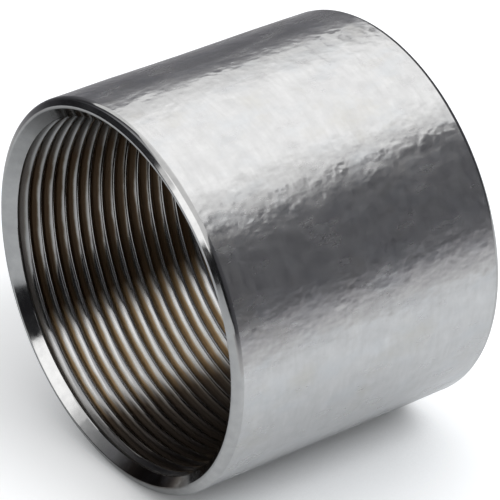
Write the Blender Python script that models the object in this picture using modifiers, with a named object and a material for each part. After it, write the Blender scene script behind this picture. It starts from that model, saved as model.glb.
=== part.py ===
"""Screwed pipe coupling: one steel sleeve with the same turned mouth at both ends, lying on its side.

A thread runs right through the bore, so that a pipe can be screwed in from each end. Units are metres
and +Z is up. The sleeve's axis runs along X, with the front mouth at -X, and the origin lies on the
surface that carries the sleeve, straight under its middle.
"""
import math

import bmesh
import bpy

# The 2-inch parallel pipe thread in the bore, right-handed and 11 to the inch: a plain V from crest to root
THREAD_CREST_DIAMETER = 0.056656
THREAD_DEPTH = 0.001479
THREAD_PITCH = 0.0254 / 11

# From the front face back to the first crest, along the bottom of the bore
FIRST_CREST = 0.0029

# The wall, from the crests to the outer skin
WALL = 0.003422
LENGTH = 0.050

# The cuts at each mouth, from the outer skin inwards
OUTER_BEVEL_WIDTH = 0.00125
OUTER_BEVEL_DEPTH = 0.00082
LAND_WIDTH = 0.0004
ENTRY_CHAMFER_ANGLE = math.radians(45)

# The bore is drilled this far inside the crests, and the tap starts and ends this many turns outside
DRILL_ALLOWANCE = 0.0005
TAP_RUNOUT_TURNS = 2

# Flats around the sleeve, a multiple of four so that it has one underneath, on top and on each side
FACETS = 64

# Edges sharper than this stay crisp when the round faces are shaded smooth
CREASE_ANGLE = math.radians(20)
WELD_DISTANCE = 0.00001

ZINC_COLOUR = (0.62, 0.63, 0.65, 1.0)
ZINC_ROUGHNESS = 0.28


def clear_scene():
    """Remove every object that is in the scene already."""
    for old in list(bpy.data.objects):
        bpy.data.objects.remove(old, do_unlink=True)


def new_collection(name):
    """Make a collection in the scene."""
    collection = bpy.data.collections.new(name)
    bpy.context.scene.collection.children.link(collection)
    return collection


def zinc_material():
    """Galvanised steel."""
    material = bpy.data.materials.new("galvanised_steel")
    material.use_nodes = True
    shader = material.node_tree.nodes["Principled BSDF"]
    shader.inputs["Base Color"].default_value = ZINC_COLOUR
    shader.inputs["Metallic"].default_value = 1.0
    shader.inputs["Roughness"].default_value = ZINC_ROUGHNESS
    return material


def profile_object(name, collection, section):
    """An open profile of (radius, height) corners beside local Z, to be turned about it.

    It lies half a facet off +X, just far enough out for each flat to touch its true circle.
    """
    offset = math.tan(math.pi / FACETS)
    corners = [(radius, -radius * offset, height) for radius, height in section]
    edges = [(i, i + 1) for i in range(len(corners) - 1)]
    mesh = bpy.data.meshes.new(name)
    mesh.from_pydata(corners, edges, [])
    profile = bpy.data.objects.new(name, mesh)
    collection.objects.link(profile)
    return profile


def add_turn(profile):
    """Turn a profile once around local Z."""
    turn = profile.modifiers.new("turn", "SCREW")
    turn.axis = "Z"
    turn.angle = math.tau
    turn.steps = FACETS
    turn.render_steps = FACETS
    return turn


def apply_modifiers(thing):
    """Turn the result of an object's modifiers into its own mesh."""
    evaluated = thing.evaluated_get(bpy.context.evaluated_depsgraph_get())
    profile = thing.data
    mesh = bpy.data.meshes.new_from_object(evaluated)
    thing.modifiers.clear()
    thing.data = mesh
    bpy.data.meshes.remove(profile)
    mesh.name = thing.name


def half_section():
    """Corners of the drilled wall above mid-length: up the bore, over the mouth, down the skin."""
    crest_radius = THREAD_CREST_DIAMETER / 2
    drill_radius = crest_radius - DRILL_ALLOWANCE
    outer_radius = crest_radius + WALL
    rim_radius = outer_radius - OUTER_BEVEL_WIDTH
    mouth_radius = rim_radius - LAND_WIDTH
    end = LENGTH / 2
    chamfer_depth = (mouth_radius - drill_radius) / math.tan(ENTRY_CHAMFER_ANGLE)
    return [
        (drill_radius, 0.0),
        (drill_radius, end - chamfer_depth),
        (mouth_radius, end),
        (rim_radius, end),
        (outer_radius, end - OUTER_BEVEL_DEPTH),
        (outer_radius, 0.0),
    ]


def turned_sleeve(name, collection):
    """Turn the half section and mirror it, so that both mouths are the same."""
    sleeve = profile_object(name, collection, half_section())
    turn = add_turn(sleeve)
    turn.use_merge_vertices = True
    turn.merge_threshold = WELD_DISTANCE
    other_end = sleeve.modifiers.new("other_end", "MIRROR")
    other_end.use_axis = (False, False, True)
    other_end.merge_threshold = WELD_DISTANCE
    return sleeve


def close_to_points(mesh):
    """Weld the turns of a screwed surface and draw each of its open ends in to a point on the axis."""
    solid = bmesh.new()
    solid.from_mesh(mesh)
    bmesh.ops.remove_doubles(solid, verts=solid.verts, dist=WELD_DISTANCE)
    open_edges = [edge for edge in solid.edges if edge.is_boundary]
    drawn = bmesh.ops.extrude_edge_only(solid, edges=open_edges)["geom"]
    corners = [item for item in drawn if isinstance(item, bmesh.types.BMVert)]
    front = [corner for corner in corners if corner.co.z < 0]
    rear = [corner for corner in corners if corner.co.z > 0]
    for end, tip in ((front, -LENGTH), (rear, LENGTH)):
        bmesh.ops.pointmerge(solid, verts=end, merge_co=(0.0, 0.0, tip))
    bmesh.ops.recalc_face_normals(solid, faces=solid.faces)
    solid.to_mesh(mesh)
    solid.free()


def thread_tap(collection):
    """The tap that cuts the thread: a helical ridge that runs past both mouths."""
    crest_radius = THREAD_CREST_DIAMETER / 2
    root_radius = crest_radius + THREAD_DEPTH
    lead_turns = math.ceil(FIRST_CREST / THREAD_PITCH) + TAP_RUNOUT_TURNS
    rear_turns = math.ceil((LENGTH - FIRST_CREST) / THREAD_PITCH) + TAP_RUNOUT_TURNS
    start = FIRST_CREST - LENGTH / 2 - lead_turns * THREAD_PITCH
    tap = profile_object("thread_tap", collection, [
        (crest_radius, start),
        (root_radius, start + THREAD_PITCH / 2),
        (crest_radius, start + THREAD_PITCH),
    ])
    turn = add_turn(tap)
    turn.screw_offset = THREAD_PITCH
    turn.iterations = lead_turns + rear_turns
    apply_modifiers(tap)
    close_to_points(tap.data)
    tap.hide_render = True
    tap.display_type = "WIRE"
    return tap


def cut_thread(sleeve, tap):
    """Run the tap through the sleeve and weld the slivers that it leaves at the mouths."""
    cut = sleeve.modifiers.new("thread", "BOOLEAN")
    cut.operation = "DIFFERENCE"
    cut.object = tap
    weld = sleeve.modifiers.new("weld", "WELD")
    weld.merge_threshold = WELD_DISTANCE
    apply_modifiers(sleeve)
    tap.parent = sleeve


def shade_turned(mesh):
    """Shade the round faces smooth and keep the turned edges crisp."""
    mesh.shade_smooth()
    mesh.set_sharp_from_angle(angle=CREASE_ANGLE)


def lay_on_its_side(sleeve):
    """Point the axis along X, with the lowest flat on the ground."""
    outer_radius = THREAD_CREST_DIAMETER / 2 + WALL
    sleeve.rotation_euler = (0.0, math.pi / 2, 0.0)
    sleeve.location.z = outer_radius


def main():
    clear_scene()
    sleeve = turned_sleeve("coupling_sleeve", new_collection("pipe_coupling"))
    tap = thread_tap(new_collection("cutters"))
    cut_thread(sleeve, tap)
    shade_turned(sleeve.data)
    lay_on_its_side(sleeve)
    sleeve.data.materials.append(zinc_material())


main()
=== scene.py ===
import math
from itertools import repeat

import bpy
import numpy as np
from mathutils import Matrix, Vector, noise


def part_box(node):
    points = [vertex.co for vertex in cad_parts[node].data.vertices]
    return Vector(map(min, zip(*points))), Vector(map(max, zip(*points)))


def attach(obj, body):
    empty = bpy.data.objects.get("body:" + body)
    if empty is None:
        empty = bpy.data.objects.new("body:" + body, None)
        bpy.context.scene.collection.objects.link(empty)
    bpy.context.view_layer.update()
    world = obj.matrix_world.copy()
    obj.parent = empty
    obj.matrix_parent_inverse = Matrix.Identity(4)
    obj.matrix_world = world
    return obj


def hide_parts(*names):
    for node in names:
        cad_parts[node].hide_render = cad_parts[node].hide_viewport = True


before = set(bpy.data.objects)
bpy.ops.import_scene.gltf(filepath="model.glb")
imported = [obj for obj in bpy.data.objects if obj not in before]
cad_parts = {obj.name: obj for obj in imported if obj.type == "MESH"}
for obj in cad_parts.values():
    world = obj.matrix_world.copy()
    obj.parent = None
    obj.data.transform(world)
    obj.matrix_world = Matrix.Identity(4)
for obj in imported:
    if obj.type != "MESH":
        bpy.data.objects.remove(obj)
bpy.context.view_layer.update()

# Sizes from the frame, in metres: the sleeve lies along X with its open front mouth at low X
NODE = "coupling_sleeve"
box_low, box_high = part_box(NODE)
FRONT = box_low.x
LENGTH = box_high.x - box_low.x
OUTER_RADIUS = (box_high.z - box_low.z) / 2
AXIS_HEIGHT = (box_high.z + box_low.z) / 2
CENTRE = Vector((FRONT + LENGTH / 2, 0, AXIS_HEIGHT))

# Waviness of the rolled skin: waves per metre and their height, which fades towards the ends
SKIN_WAVES = ((90, 0.00014), (300, 0.00003))
WAVE_FADE = 0.003
SKIN_RADIUS = OUTER_RADIUS - sum(height for scale, height in SKIN_WAVES) / 2

# Turned mouth: an outer bevel, a flat land and an entry chamfer at 45 degrees
BEVEL_WIDTH = 0.00125
BEVEL_SLOPE = 0.656
LAND_WIDTH = 0.0004
RIM_RADIUS = OUTER_RADIUS - BEVEL_WIDTH
MOUTH_RADIUS = RIM_RADIUS - LAND_WIDTH
BEVEL_DEPTH = (SKIN_RADIUS - RIM_RADIUS) * BEVEL_SLOPE

# How far the edges of the mouth are eased, and a short straight stretch beside each that keeps it crisp
SKIN_EASE = 0.0005
RIM_EASE = 0.00012
EASE_HOLD = 0.00003
EASE_STEPS = 3
SKIN_START = BEVEL_DEPTH + SKIN_EASE + EASE_HOLD

# Parallel pipe thread, 11 to the inch: worn flanks, with crests and roots rounded over a part of the pitch
PITCH = 0.0254 / 11
CREST_RADIUS = 0.056656 / 2
CREST_DEPTH = 0.00363
FLANK_SLOPE = math.tan(math.radians(48))
THREAD_ROUNDING = 0.15
THREAD_HEIGHT = FLANK_SLOPE * PITCH * (0.5 - THREAD_ROUNDING)
CHAMFER_DEPTH = MOUTH_RADIUS - CREST_RADIUS

# Where the thread gains its height, in turns behind the chamfer, and its least share of that height
RUNOUT_START = -0.6
RUNOUT_LENGTH = 0.9
LEAST_SHARE = 0.15

# Fineness of the mesh; the rows of each turn, in parts of the pitch, lie closer at the crest and the root
COLUMNS = 240
SKIN_ROWS = 90
ENTRY_ROWS = 20
HALF_TURN = (0, 0.05, 0.12, 0.25, 0.38, 0.45)
TURN_STEPS = HALF_TURN + tuple(0.5 + step for step in HALF_TURN)
SHARP_ANGLE = math.radians(28)
ANGLES = np.arange(COLUMNS) * (math.tau / COLUMNS)

# Turns of the thread's grid before the front face and behind the rear one
TURNS_BEFORE = 3
TURNS_BEHIND = 1

# Zones of the surface, in the order of the material slots
SKIN, TURNED, THREAD = range(3)

# Lines along the bore, in degrees from +Y: overhead, where shade and highlight are painted; a painted
# highlight in the thread; the thread darker below; rust and painted shade on the chamfers
OVERHEAD_LINE = 80
LAMP_HIGHLIGHT_LINE = -53
LOW_DARK_LINE = -96
RUST_AND_SHADE_LINE = -110

# Radii between which the land gives way to the chamfer, and how far from the middle the painted shade deep
# in the bore reaches
CHAMFER_EDGE = (MOUTH_RADIUS + 0.0003, MOUTH_RADIUS - 0.0001)
DEEP_SHADE_REACH = 0.017

# Height of the fine wrinkles in the zinc
WRINKLE_HEIGHT = 0.000086

# Floor: its size, the white that it adds for the camera and for mirrors near the part, and its painted
# contact shade
FLOOR_RADIUS = 4.0
FLOOR_HEIGHT = -0.00002
FLOOR_ANGLES = ANGLES[::4]
CAMERA_LIFT = 0.57
MIRROR_LIFT = 0.1
POOL_CENTRE = (0.03, -0.03, 0)
POOL_EDGE = (0.04, 0.1)
CONTACT_REACH = 0.04
CONTACT_SHADE = 0.65
CONTACT_SAMPLES = 8

# Light of the room on the stage, where 1 is the white that shows
ROOM_LIGHT = 0.4

# Grey cards: their tint, and the distances from the axis and heights at the foot of a swept one
CARD_TINT = (1.0, 0.975, 1.09, 1.0)
SWEEP = ((0.1, 0.0005), (0.17, 0.004), (0.225, 0.012), (0.25, 0.03), (0.255, 0.06), (0.255, 0.1))
# Greys up a swept card from its foot: their fall from pale to dark at the foot is painted shade of the
# floor before the card
FRONT_GREYS = (0.74, 0.46, 0.33, 0.24, 0.2, 0.185, 0.27)
BACK_GREYS = (0.7, 0.42, 0.31, 0.23, 0.19, 0.18, 0.26)

# The camera, at the photograph's viewing angle
IMAGE_SIZE = 500
FOCAL_PIXELS = 3525.8
SENSOR_WIDTH = 36
CLIP_NEAR = 0.01
CLIP_FAR = 20
VIEW_AZIMUTH = math.radians(-36.63)
VIEW_ELEVATION = math.radians(30.673)
VIEW_DISTANCE = 0.5440
VIEW_RIGHT = 0.00068
VIEW_UP = -0.0001


# Shape of the sleeve
def thread_radius(depth, angle):
    """Radius of the thread at a depth behind the front face."""
    turns = (depth - CREST_DEPTH) / PITCH - angle / math.tau
    from_crest = np.abs((turns + 0.5) % 1 - 0.5)
    from_bend = np.minimum(from_crest, 0.5 - from_crest)
    rounded = from_bend ** 2 / (2 * THREAD_ROUNDING) + THREAD_ROUNDING / 2
    bend_rise = np.where(from_bend < THREAD_ROUNDING, rounded, from_bend)
    rise = np.where(from_crest < 0.25, bend_rise, 0.5 - bend_rise)
    turns_inside = (min(depth, LENGTH - depth) - CHAMFER_DEPTH) / PITCH
    share = min(max((turns_inside - RUNOUT_START) / RUNOUT_LENGTH, LEAST_SHARE), 1)
    return CREST_RADIUS + share * FLANK_SLOPE * PITCH * (rise - THREAD_ROUNDING / 2)


def chamfer_radius(depth):
    """Radius of the entry chamfer of the nearer mouth."""
    return MOUTH_RADIUS - min(depth, LENGTH - depth)


def entry_radii(depth):
    """Radii of a ring where the thread runs out on the chamfer."""
    return np.maximum(thread_radius(depth, ANGLES), chamfer_radius(depth))


def entry_zones(depth):
    """Zones of a band where the thread runs out on the chamfer."""
    radii = thread_radius(depth, ANGLES + math.pi / COLUMNS)
    return np.where(radii > chamfer_radius(depth), THREAD, TURNED)


def skin_radii(depth):
    """Radii of a ring of the rolled skin, with its slight waviness."""
    share = min((min(depth, LENGTH - depth) - SKIN_START) / WAVE_FADE, 1)
    radii = []
    for angle in ANGLES:
        place = Vector((depth, OUTER_RADIUS * math.cos(angle), OUTER_RADIUS * math.sin(angle)))
        wave = sum(height / 2 * noise.noise(place * scale) for scale, height in SKIN_WAVES)
        radii.append(SKIN_RADIUS - share * wave)
    return np.array(radii)


def eased(corners, eases):
    """An open outline of (depth, radius) points, with each inner corner rounded over its own ease."""
    outline = []
    for before, corner, after, ease in zip(corners, corners[1:], corners[2:], eases):
        corner = Vector(corner)
        inward = (Vector(before) - corner).normalized()
        onward = (Vector(after) - corner).normalized()
        start = corner + inward * ease
        end = corner + onward * ease
        outline.append(start + inward * EASE_HOLD)
        for step in range(EASE_STEPS + 1):
            t = step / EASE_STEPS
            outline.append(start.lerp(corner, t).lerp(corner.lerp(end, t), t))
        outline.append(end + onward * EASE_HOLD)
    return [(point.x, point.y) for point in outline]


class Sleeve:
    """Points and faces of the sleeve, gathered ring by ring."""

    def __init__(self):
        self.points = []
        self.faces = []
        self.zones = []

    def point(self, depth, radius, angle):
        """Add a point and give its number."""
        self.points.append((
            FRONT + depth,
            radius * math.cos(angle),
            AXIS_HEIGHT + radius * math.sin(angle),
        ))
        return len(self.points) - 1

    def ring(self, depth, radii):
        """Add a ring of points, with one radius or one for each column."""
        radii = np.broadcast_to(radii, COLUMNS)
        return [self.point(depth, radius, angle) for radius, angle in zip(radii, ANGLES)]

    def face(self, corners, zone):
        """Add a face without its repeated corners, if it has any area."""
        corners = [corner for i, corner in enumerate(corners) if corner != corners[i - 1]]
        if len(corners) > 2:
            self.faces.append(corners)
            self.zones.append(zone)

    def band(self, first, second, zones):
        """Add the faces between two rings, with one zone or one for each column."""
        zones = np.broadcast_to(zones, COLUMNS)
        for k in range(COLUMNS):
            n = (k + 1) % COLUMNS
            self.face((first[k], first[n], second[n], second[k]), int(zones[k]))

    def bands(self, rings, zones, flip=False):
        """Add the bands of a row of rings, flipped at the front, where the rings run the other way."""
        for first, second, zone in zip(rings, rings[1:], zones):
            if flip:
                first, second = second, first
            self.band(first, second, zone)


def add_thread(sleeve, rear_ring, front_ring):
    """A helical grid of faces between the two entry rings."""
    near = CHAMFER_DEPTH
    far = LENGTH - CHAMFER_DEPTH
    turns = range(-TURNS_BEFORE, math.ceil(LENGTH / PITCH) + TURNS_BEHIND)
    rows = [CREST_DEPTH + (turn + step) * PITCH for turn in turns for step in TURN_STEPS]
    grid = []
    for row in rows:
        line = []
        for k, angle in enumerate(ANGLES):
            depth = row + PITCH * k / COLUMNS
            if depth <= near:
                line.append(front_ring[k])
            elif depth >= far:
                line.append(rear_ring[k])
            else:
                line.append(sleeve.point(depth, float(thread_radius(depth, angle)), angle))
        grid.append(line)
    # Each line ends where the line one turn on begins
    for j, line in enumerate(grid):
        next_turn = j + len(TURN_STEPS)
        line.append(grid[next_turn][0] if next_turn < len(grid) else rear_ring[0])
    for lower, upper in zip(grid, grid[1:]):
        for k in range(COLUMNS):
            sleeve.face((upper[k], upper[k + 1], lower[k + 1], lower[k]), THREAD)


def sleeve_mesh():
    """The closed mesh of the sleeve: skin, two mouths and thread."""
    sleeve = Sleeve()
    mouth = eased([
        (LENGTH / 2, SKIN_RADIUS),
        (BEVEL_DEPTH, SKIN_RADIUS),
        (0, RIM_RADIUS),
        (0, MOUTH_RADIUS),
        (CHAMFER_DEPTH, CREST_RADIUS),
    ], (SKIN_EASE, RIM_EASE, RIM_EASE))
    entry_start = mouth[-1][0]
    entry_depths = np.linspace(entry_start, CHAMFER_DEPTH, ENTRY_ROWS + 1)
    entry_middles = (entry_depths[:-1] + entry_depths[1:]) / 2
    skin_depths = np.linspace(SKIN_START, LENGTH - SKIN_START, SKIN_ROWS + 1)

    skin = [sleeve.ring(d, skin_radii(d)) for d in skin_depths]
    rear_mouth = [skin[-1]] + [sleeve.ring(LENGTH - d, r) for d, r in mouth[1:]]
    front_mouth = [skin[0]] + [sleeve.ring(d, r) for d, r in mouth[1:]]
    rear_depths = [LENGTH - d for d in entry_depths[1:]]
    rear_entry = [rear_mouth[-1]] + [sleeve.ring(d, entry_radii(d)) for d in rear_depths]
    front_entry = [front_mouth[-1]] + [sleeve.ring(d, entry_radii(d)) for d in entry_depths[1:]]

    sleeve.bands(skin, repeat(SKIN))
    sleeve.bands(rear_mouth, repeat(TURNED))
    sleeve.bands(front_mouth, repeat(TURNED), flip=True)
    sleeve.bands(rear_entry, [entry_zones(LENGTH - d) for d in entry_middles])
    sleeve.bands(front_entry, [entry_zones(d) for d in entry_middles], flip=True)
    add_thread(sleeve, rear_entry[-1], front_entry[-1])

    mesh = bpy.data.meshes.new("threaded_sleeve")
    mesh.from_pydata(sleeve.points, [], sleeve.faces)
    mesh.polygons.foreach_set("material_index", sleeve.zones)
    mesh.shade_smooth()
    mesh.set_sharp_from_angle(angle=SHARP_ANGLE)
    mesh.update()
    return mesh


# Nodes
def new_material(name):
    """A material with its node tree and its shader."""
    material = bpy.data.materials.new(name)
    material.use_nodes = True
    tree = material.node_tree
    return material, tree, tree.nodes["Principled BSDF"]


def feed(tree, socket, value):
    """Give a socket a plain value or another node's output."""
    if isinstance(value, bpy.types.NodeSocket):
        tree.links.new(value, socket)
    else:
        socket.default_value = value


def add(tree, kind, settings=None, **inputs):
    """A node with its settings and inputs, where _0, _1 and so on are inputs by number."""
    node = tree.nodes.new(kind)
    for key, value in (settings or {}).items():
        setattr(node, key, value)
    for key, value in inputs.items():
        number = key[1:]
        name = int(number) if number.isdigit() else key.replace("_", " ")
        feed(tree, node.inputs[name], value)
    return node


def compute(tree, operation, *values):
    """The result of a Math node."""
    inputs = {f"_{i}": value for i, value in enumerate(values)}
    return add(tree, "ShaderNodeMath", {"operation": operation}, **inputs).outputs[0]


def vector_math(tree, operation, **inputs):
    """The outputs of a Vector Math node."""
    return add(tree, "ShaderNodeVectorMath", {"operation": operation}, **inputs).outputs


def map_range(tree, value, from_range, to_range):
    """A value moved from one range to another, and held inside it."""
    from_min, from_max = from_range
    to_min, to_max = to_range
    return add(tree, "ShaderNodeMapRange", Value=value, From_Min=from_min, From_Max=from_max,
               To_Min=to_min, To_Max=to_max).outputs["Result"]


def ramp(tree, factor, stops):
    """Colours that blend from stop to stop."""
    node = add(tree, "ShaderNodeValToRGB", Fac=factor)
    elements = node.color_ramp.elements
    while len(elements) < len(stops):
        elements.new(0.5)
    for element, (position, colour) in zip(elements, stops):
        element.position = position
        element.color = (*colour, 1)
    return node.outputs["Color"]


def mix(tree, factor, first, second):
    """A blend of two colours, of which the second may be plain; 6 and 7 are the colour inputs."""
    if not isinstance(second, bpy.types.NodeSocket):
        second = (*second, 1)
    node = add(tree, "ShaderNodeMix", {"data_type": "RGBA"}, Factor=factor, _6=first, _7=second)
    return node.outputs[2]


def position(tree):
    """Place in the part's own frame."""
    return add(tree, "ShaderNodeTexCoord").outputs["Object"]


def grain(tree, along, around, detail=3.0, roughness=0.55):
    """Noise with this many cells per metre along the sleeve and around it."""
    scaled = add(tree, "ShaderNodeMapping", Vector=position(tree), Scale=(along, around, around))
    return add(tree, "ShaderNodeTexNoise", Vector=scaled.outputs["Vector"], Scale=1.0, Detail=detail,
               Roughness=roughness).outputs["Fac"]


def from_axis(tree):
    """The way out from the sleeve's axis."""
    split = add(tree, "ShaderNodeSeparateXYZ", Vector=position(tree)).outputs
    up = compute(tree, "SUBTRACT", split["Z"], AXIS_HEIGHT)
    return add(tree, "ShaderNodeCombineXYZ", Y=split["Y"], Z=up).outputs[0]


def radius_of(tree):
    """Distance from the sleeve's axis."""
    return vector_math(tree, "LENGTH", _0=from_axis(tree))["Value"]


def from_middle(tree):
    """Distance from the middle of the sleeve's length."""
    along = add(tree, "ShaderNodeSeparateXYZ", Vector=position(tree)).outputs["X"]
    return compute(tree, "ABSOLUTE", along)


def patch(tree, degrees, edge, most=1.0):
    """A mask along a line of the bore, which fades out between the two cosines of its edge."""
    turn = math.radians(degrees)
    line = (0, math.cos(turn), math.sin(turn))
    outward = vector_math(tree, "NORMALIZE", _0=from_axis(tree))["Vector"]
    facing = vector_math(tree, "DOT_PRODUCT", _0=outward, _1=line)["Value"]
    return map_range(tree, facing, edge, (0.0, most))


# Materials of the sleeve
def zinc_skin():
    """Bright zinc with blotches, streaks, stains and fine wrinkles."""
    material, tree, shader = new_material("zinc_skin")
    colour = ramp(tree, grain(tree, 450, 450), [
        (0.3, (0.585, 0.585, 0.587)),
        (0.7, (0.66, 0.66, 0.66)),
    ])
    streaks = map_range(tree, grain(tree, 1300, 220), (0.4, 0.8), (0.0, 0.5))
    warm_stains = map_range(tree, grain(tree, 110, 110, detail=4), (0.56, 0.75), (0.0, 0.7))
    cool_stains = map_range(tree, grain(tree, 140, 260), (0.5, 0.7), (0.0, 0.5))
    for place, other in (
        (streaks, (0.53, 0.53, 0.525)),
        (warm_stains, (0.55, 0.535, 0.495)),
        (cool_stains, (0.59, 0.61, 0.63)),
    ):
        colour = mix(tree, place, colour, other)
    clouds = map_range(tree, grain(tree, 170, 430), (0.3, 0.7), (0.12, 0.3))
    bloom = map_range(tree, grain(tree, 950, 480), (0.3, 0.7), (1.0, 0.955))
    lively = map_range(tree, grain(tree, 170, 170, detail=2), (0.35, 0.65), (0.6, 1.25))
    wrinkles = compute(tree, "MULTIPLY", grain(tree, 500, 660, detail=1.5, roughness=0.45), lively)
    bump = add(tree, "ShaderNodeBump", Height=wrinkles, Distance=WRINKLE_HEIGHT, Strength=1.0)
    feed(tree, shader.inputs["Base Color"], colour)
    feed(tree, shader.inputs["Roughness"], clouds)
    feed(tree, shader.inputs["Metallic"], bloom)
    feed(tree, shader.inputs["Normal"], bump.outputs["Normal"])
    return material


def turned_steel():
    """Bright turned metal, with painted shade overhead on the chamfers, and rust with painted shade low
    down on them.
    """
    material, tree, shader = new_material("turned_steel")
    colour = ramp(tree, grain(tree, 600, 600), [
        (0.3, (0.45, 0.45, 0.45)),
        (0.7, (0.52, 0.52, 0.515)),
    ])
    chamfer = map_range(tree, radius_of(tree), CHAMFER_EDGE, (0.0, 0.9))
    # Painted shade: the chamfers are darkened overhead, standing in for the shadowed floor that they
    # mirror
    overhead_painted_shade = compute(tree, "MULTIPLY", chamfer, patch(tree, OVERHEAD_LINE, (0.72, 0.9)))
    # Rust and painted shade: the chamfers darken low down in a rusty brown, which also stands in for the
    # shadowed floor that they mirror there
    low = compute(tree, "MULTIPLY", chamfer, patch(tree, RUST_AND_SHADE_LINE, (0.92, 0.97)))
    uneven = map_range(tree, grain(tree, 350, 350), (0.3, 0.5), (0.6, 1.0))
    rust_and_painted_shade = compute(tree, "MULTIPLY", low, uneven)
    for place, other in (
        (overhead_painted_shade, (0.12, 0.118, 0.116)),
        (rust_and_painted_shade, (0.06, 0.042, 0.026)),
    ):
        colour = mix(tree, place, colour, other)
    sheen = map_range(tree, grain(tree, 800, 800, detail=2), (0.3, 0.7), (0.07, 0.13))
    shader.inputs["Metallic"].default_value = 1.0
    feed(tree, shader.inputs["Base Color"], colour)
    feed(tree, shader.inputs["Roughness"], sheen)
    return material


def cut_thread():
    """Bright crests over rusty roots, with painted highlights overhead and on one side, and darker below.
    """
    material, tree, shader = new_material("cut_thread")
    height = map_range(tree, radius_of(tree), (CREST_RADIUS, CREST_RADIUS + THREAD_HEIGHT), (0.0, 1.0))
    # Painted shade: the thread darkens towards the middle, deep inside the bore
    deep_painted_shade = map_range(tree, from_middle(tree), (DEEP_SHADE_REACH, 0.0), (0.0, 0.2))
    uneven = map_range(tree, grain(tree, 700, 170), (0.3, 0.7), (-0.13, 0.13))
    level = height
    for share in (deep_painted_shade, uneven):
        level = compute(tree, "ADD", level, share)
    rusty = ramp(tree, level, [
        (0.0, (0.46, 0.46, 0.462)),
        (0.22, (0.39, 0.384, 0.372)),
        (0.45, (0.1, 0.075, 0.05)),
        (0.62, (0.05, 0.028, 0.012)),
        (1.0, (0.06, 0.033, 0.013)),
    ])
    # Painted highlight: crests and flanks made brighter along the top of the bore
    overhead_painted_highlight = ramp(tree, height, [
        (0.0, (0.75, 0.75, 0.75)),
        (0.22, (0.65, 0.648, 0.645)),
        (0.48, (0.15, 0.145, 0.14)),
        (0.7, (0.07, 0.067, 0.063)),
    ])
    # Painted highlight: lighter flanks and roots along the line where the left lamp shows in the thread
    lamp_painted_highlight = ramp(tree, level, [
        (0.1, (0.33, 0.336, 0.35)),
        (0.35, (0.455, 0.455, 0.46)),
        (0.7, (0.41, 0.398, 0.37)),
        (0.92, (0.34, 0.225, 0.11)),
    ])
    # The thread darker towards the bottom of the bore
    darker_below = ramp(tree, height, [
        (0.0, (0.1, 0.086, 0.072)),
        (0.6, (0.045, 0.035, 0.026)),
    ])
    dull = ramp(tree, height, [
        (0.0, (0.28, 0.28, 0.28)),
        (1.0, (0.13, 0.125, 0.12)),
    ])
    colour = rusty
    for place, other in (
        (patch(tree, OVERHEAD_LINE, (0.45, 0.7)), overhead_painted_highlight),
        (patch(tree, LAMP_HIGHLIGHT_LINE, (0.935, 0.985)), lamp_painted_highlight),
        (patch(tree, LOW_DARK_LINE, (0.86, 0.97), most=0.9), darker_below),
    ):
        colour = mix(tree, place, colour, other)
    first_turn = LENGTH / 2 - CHAMFER_DEPTH
    inside = map_range(tree, from_middle(tree), (first_turn, first_turn - PITCH), (0.0, 1.0))
    feed(tree, shader.inputs["Base Color"], mix(tree, inside, dull, colour))
    feed(tree, shader.inputs["Metallic"], map_range(tree, level, (0.3, 0.75), (1.0, 0.7)))
    feed(tree, shader.inputs["Roughness"], map_range(tree, level, (0.2, 1.0), (0.09, 0.42)))
    return material


# Stage: floor, grey studio cards, soft lights and the white room
def sight_rays(tree):
    """1 for the camera's own rays, and 1 for those that show in metal and glass."""
    rays = add(tree, "ShaderNodeLightPath").outputs
    mirrored = compute(tree, "MAXIMUM", rays["Is Glossy Ray"], rays["Is Transmission Ray"])
    return rays["Is Camera Ray"], mirrored


def openness(tree):
    """1 on open floor, and less close to the part."""
    return add(tree, "ShaderNodeAmbientOcclusion", {"samples": CONTACT_SAMPLES},
               Distance=CONTACT_REACH).outputs["AO"]


def white_for_sight(tree):
    """White that shows to the camera, and near the part in metal and glass; it lights nothing else."""
    camera, mirrored = sight_rays(tree)
    apart = vector_math(tree, "DISTANCE", _0=position(tree), _1=POOL_CENTRE)["Value"]
    pool = map_range(tree, apart, POOL_EDGE, (MIRROR_LIFT, 0.0))
    lift = compute(tree, "MULTIPLY", camera, CAMERA_LIFT)
    level = compute(tree, "MULTIPLY_ADD", mirrored, pool, lift)
    # Painted contact shadow: the ambient-occlusion node dims this white close to the part
    strength = compute(tree, "MULTIPLY", level, openness(tree))
    return add(tree, "ShaderNodeEmission", Strength=strength).outputs["Emission"]


def floor_material():
    """Pale floor that keeps the part's shadow, with a painted contact shade that darkens it near the part.
    """
    material, tree, shader = new_material("pale_floor")
    tree.nodes.remove(shader)
    mottle = ramp(tree, grain(tree, 40, 40, detail=2), [
        (0.3, (0.765, 0.785, 0.805)),
        (0.7, (0.775, 0.8, 0.825)),
    ])
    # Painted contact shadow: the ambient-occlusion node darkens the floor's colour close to the part
    shade = map_range(tree, openness(tree), (0.0, 1.0), (CONTACT_SHADE, 1.0))
    shaded = vector_math(tree, "SCALE", _0=mottle, Scale=shade)["Vector"]
    plain = add(tree, "ShaderNodeBsdfDiffuse", Color=shaded).outputs["BSDF"]
    lifted = add(tree, "ShaderNodeAddShader", _0=plain, _1=white_for_sight(tree)).outputs["Shader"]
    feed(tree, tree.nodes["Material Output"].inputs["Surface"], lifted)
    material.cycles.emission_sampling = "NONE"
    return material


def card_material():
    """Plain card in the grey of each of its points."""
    material, tree, shader = new_material("studio_card")
    tree.nodes.remove(shader)
    tone = add(tree, "ShaderNodeAttribute", {"attribute_name": "tone"}).outputs["Color"]
    plain = add(tree, "ShaderNodeBsdfDiffuse", Color=tone).outputs["BSDF"]
    feed(tree, tree.nodes["Material Output"].inputs["Surface"], plain)
    return material


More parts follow.
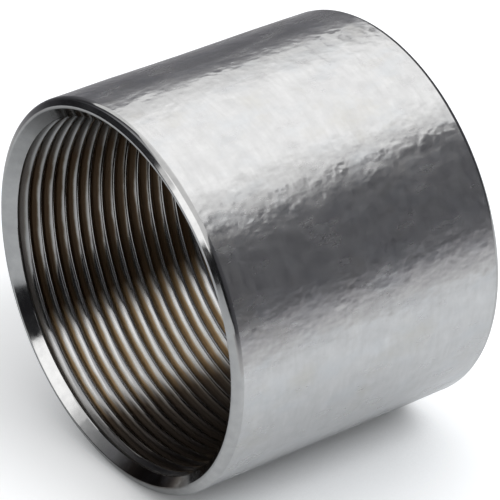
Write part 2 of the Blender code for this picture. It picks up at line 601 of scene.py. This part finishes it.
def stage_object(name, points, faces, material):
    """A mesh that belongs to the stage and not to the part."""
    mesh = bpy.data.meshes.new(name)
    mesh.from_pydata(points, [], faces)
    mesh.materials.append(material)
    thing = bpy.data.objects.new(name, mesh)
    bpy.context.scene.collection.objects.link(thing)
    return thing


def add_floor():
    """A wide round floor, just under the part."""
    rim = [(FLOOR_RADIUS * math.cos(angle), FLOOR_RADIUS * math.sin(angle), FLOOR_HEIGHT)
           for angle in FLOOR_ANGLES]
    stage_object("floor", rim, [list(range(len(rim)))], floor_material())


def upright(x, y, levels):
    """A column of a card that stands straight on the floor, from (height, grey) levels."""
    return x, [(y, height, grey) for height, grey in levels]


def swept(x, side, top, greys):
    """A column of a card that sweeps up from the floor, in front (side -1) or behind (side 1)."""
    rows = SWEEP + ((SWEEP[-1][0], top),)
    return x, [(side * out, height, grey) for (out, height), grey in zip(rows, greys)]


def add_card(name, material, columns):
    """A grey card that shows only in reflections: columns of x and (y, height, grey) points."""
    points = []
    tones = []
    for x, levels in columns:
        for y, height, grey in levels:
            points.append((x, y, FLOOR_HEIGHT + height))
            tones += [grey * (1 + (tint - 1) * (1 - grey) ** 2) for tint in CARD_TINT]
    rows = len(columns[0][1])
    faces = [(c * rows + r, (c + 1) * rows + r, (c + 1) * rows + r + 1, c * rows + r + 1)
             for c in range(len(columns) - 1) for r in range(rows - 1)]
    card = stage_object(name, points, faces, material)
    card.data.attributes.new("tone", "FLOAT_COLOR", "POINT").data.foreach_set("color", tones)
    card.visible_camera = False
    card.visible_diffuse = False
    card.visible_shadow = False


def add_cards():
    """The grey cards around the part, which its metal reflects as dark and light bands."""
    material = card_material()
    add_card("front_card", material, [
        swept(-0.2, -1, 0.28, (0.74, 0.4, 0.2, 0.1, 0.07, 0.07, 0.07)),
        swept(0.0, -1, 0.32, (0.74, 0.46, 0.32, 0.22, 0.18, 0.17, 0.25)),
        swept(0.2, -1, 0.345, FRONT_GREYS),
        swept(0.3, -1, 0.47, FRONT_GREYS),
        swept(0.6, -1, 0.5, FRONT_GREYS),
    ])
    add_card("right_card", material, [
        upright(0.4, -0.25, [(0, 0.08), (0.4, 0.08)]),
        upright(0.4, 0.45, [(0, 0.16), (0.4, 0.16)]),
    ])
    add_card("back_card", material, [
        swept(-0.1, 1, 0.195, (0.7, 0.3, 0.12, 0.05, 0.04, 0.04, 0.04)),
        swept(0.1, 1, 0.195, BACK_GREYS),
        swept(0.7, 1, 0.195, BACK_GREYS),
    ])
    add_card("left_back_card", material, [
        upright(-0.1, 0.255, [(0, 0.03), (0.08, 0.03), (0.1, 0.06), (0.6, 0.03)]),
        upright(-0.166, 0.255, [(0, 0.03), (0.1, 0.03), (0.145, 0.14), (0.6, 0.03)]),
        upright(-0.213, 0.255, [(0, 0.03), (0.14, 0.03), (0.192, 0.33), (0.6, 0.05)]),
        upright(-0.278, 0.255, [(0, 0.03), (0.19, 0.04), (0.254, 0.53), (0.6, 0.1)]),
        upright(-0.372, 0.252, [(0, 0.03), (0.25, 0.05), (0.339, 0.72), (0.6, 0.5)]),
        upright(-0.65, 0.242, [(0, 0.03), (0.31, 0.05), (0.48, 0.85), (0.6, 0.85)]),
    ])
    add_card("left_front_card", material, [
        upright(-0.6, -0.765, [(0, 0.03), (0.78, 0.03)]),
        upright(-1.11, -0.456, [(0, 0.03), (0.465, 0.03)]),
        upright(-1.95, -0.06, [(0, 0.03), (0.3, 0.03)]),
    ])


def add_softbox(name, compass, elevation, distance, size, radiance, mirrored=True):
    """A soft lamp that faces the part, from this many degrees around from +X and up."""
    turn = math.radians(compass)
    rise = math.radians(elevation)
    back = Vector((math.cos(turn) * math.cos(rise), math.sin(turn) * math.cos(rise), math.sin(rise)))
    width, height = size
    data = bpy.data.lights.new(name, "AREA")
    data.shape = "RECTANGLE"
    data.size = width
    data.size_y = height
    data.energy = radiance * math.pi * width * height
    lamp = bpy.data.objects.new(name, data)
    lamp.location = CENTRE + back * distance
    lamp.rotation_mode = "QUATERNION"
    lamp.rotation_quaternion = back.to_track_quat("Z", "Y")
    lamp.visible_camera = False
    lamp.visible_glossy = mirrored
    bpy.context.scene.collection.objects.link(lamp)


def add_lamps():
    """Three lamps that show in the metal, and a fill for the stage that doesn't."""
    add_softbox("overhead_softbox", compass=19, elevation=57, distance=1.2,
                size=(1.2, 1.1), radiance=0.16)
    add_softbox("overhead_core", compass=19, elevation=57, distance=1.1,
                size=(0.9, 0.65), radiance=0.16)
    add_softbox("left_softbox", compass=184, elevation=22.5, distance=2.55,
                size=(1.5, 1.23), radiance=0.8)
    add_softbox("front_fill", compass=-66, elevation=50, distance=0.8,
                size=(0.35, 0.35), radiance=10.3, mirrored=False)


def add_world():
    """A room that shows as white to the camera and in metal, and lights the stage less than that."""
    world = bpy.data.worlds.new("white_room")
    world.use_nodes = True
    tree = world.node_tree
    camera, mirrored = sight_rays(tree)
    seen = compute(tree, "MAXIMUM", camera, mirrored)
    background = tree.nodes["Background"]
    background.inputs["Color"].default_value = (1, 1, 1, 1)
    feed(tree, background.inputs["Strength"], map_range(tree, seen, (0.0, 1.0), (ROOM_LIGHT, 1.0)))
    bpy.context.scene.world = world


def add_camera():
    """The camera, a little off the line to the part's centre."""
    back = Vector((
        math.sin(VIEW_AZIMUTH) * math.cos(VIEW_ELEVATION),
        -math.cos(VIEW_AZIMUTH) * math.cos(VIEW_ELEVATION),
        math.sin(VIEW_ELEVATION),
    ))
    data = bpy.data.cameras.new("camera")
    data.sensor_width = SENSOR_WIDTH
    data.lens = SENSOR_WIDTH * FOCAL_PIXELS / IMAGE_SIZE
    data.clip_start = CLIP_NEAR
    data.clip_end = CLIP_FAR
    camera = bpy.data.objects.new("camera", data)
    camera.rotation_mode = "QUATERNION"
    camera.rotation_quaternion = (-back).to_track_quat("-Z", "Y")
    right = camera.rotation_quaternion @ Vector((1, 0, 0))
    up = camera.rotation_quaternion @ Vector((0, 1, 0))
    camera.location = CENTRE + back * VIEW_DISTANCE + right * VIEW_RIGHT + up * VIEW_UP
    bpy.context.scene.collection.objects.link(camera)
    bpy.context.scene.camera = camera


def add_sleeve():
    """The finished sleeve, which stands for the CAD node."""
    mesh = sleeve_mesh()
    for material in (zinc_skin(), turned_steel(), cut_thread()):
        mesh.materials.append(material)
    piece = bpy.data.objects.new("threaded_sleeve", mesh)
    bpy.context.scene.collection.objects.link(piece)
    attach(piece, "root")
    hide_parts(NODE)


add_sleeve()
add_floor()
add_cards()
add_lamps()
add_world()
add_camera()
bpy.context.scene.view_settings.view_transform = "Standard"
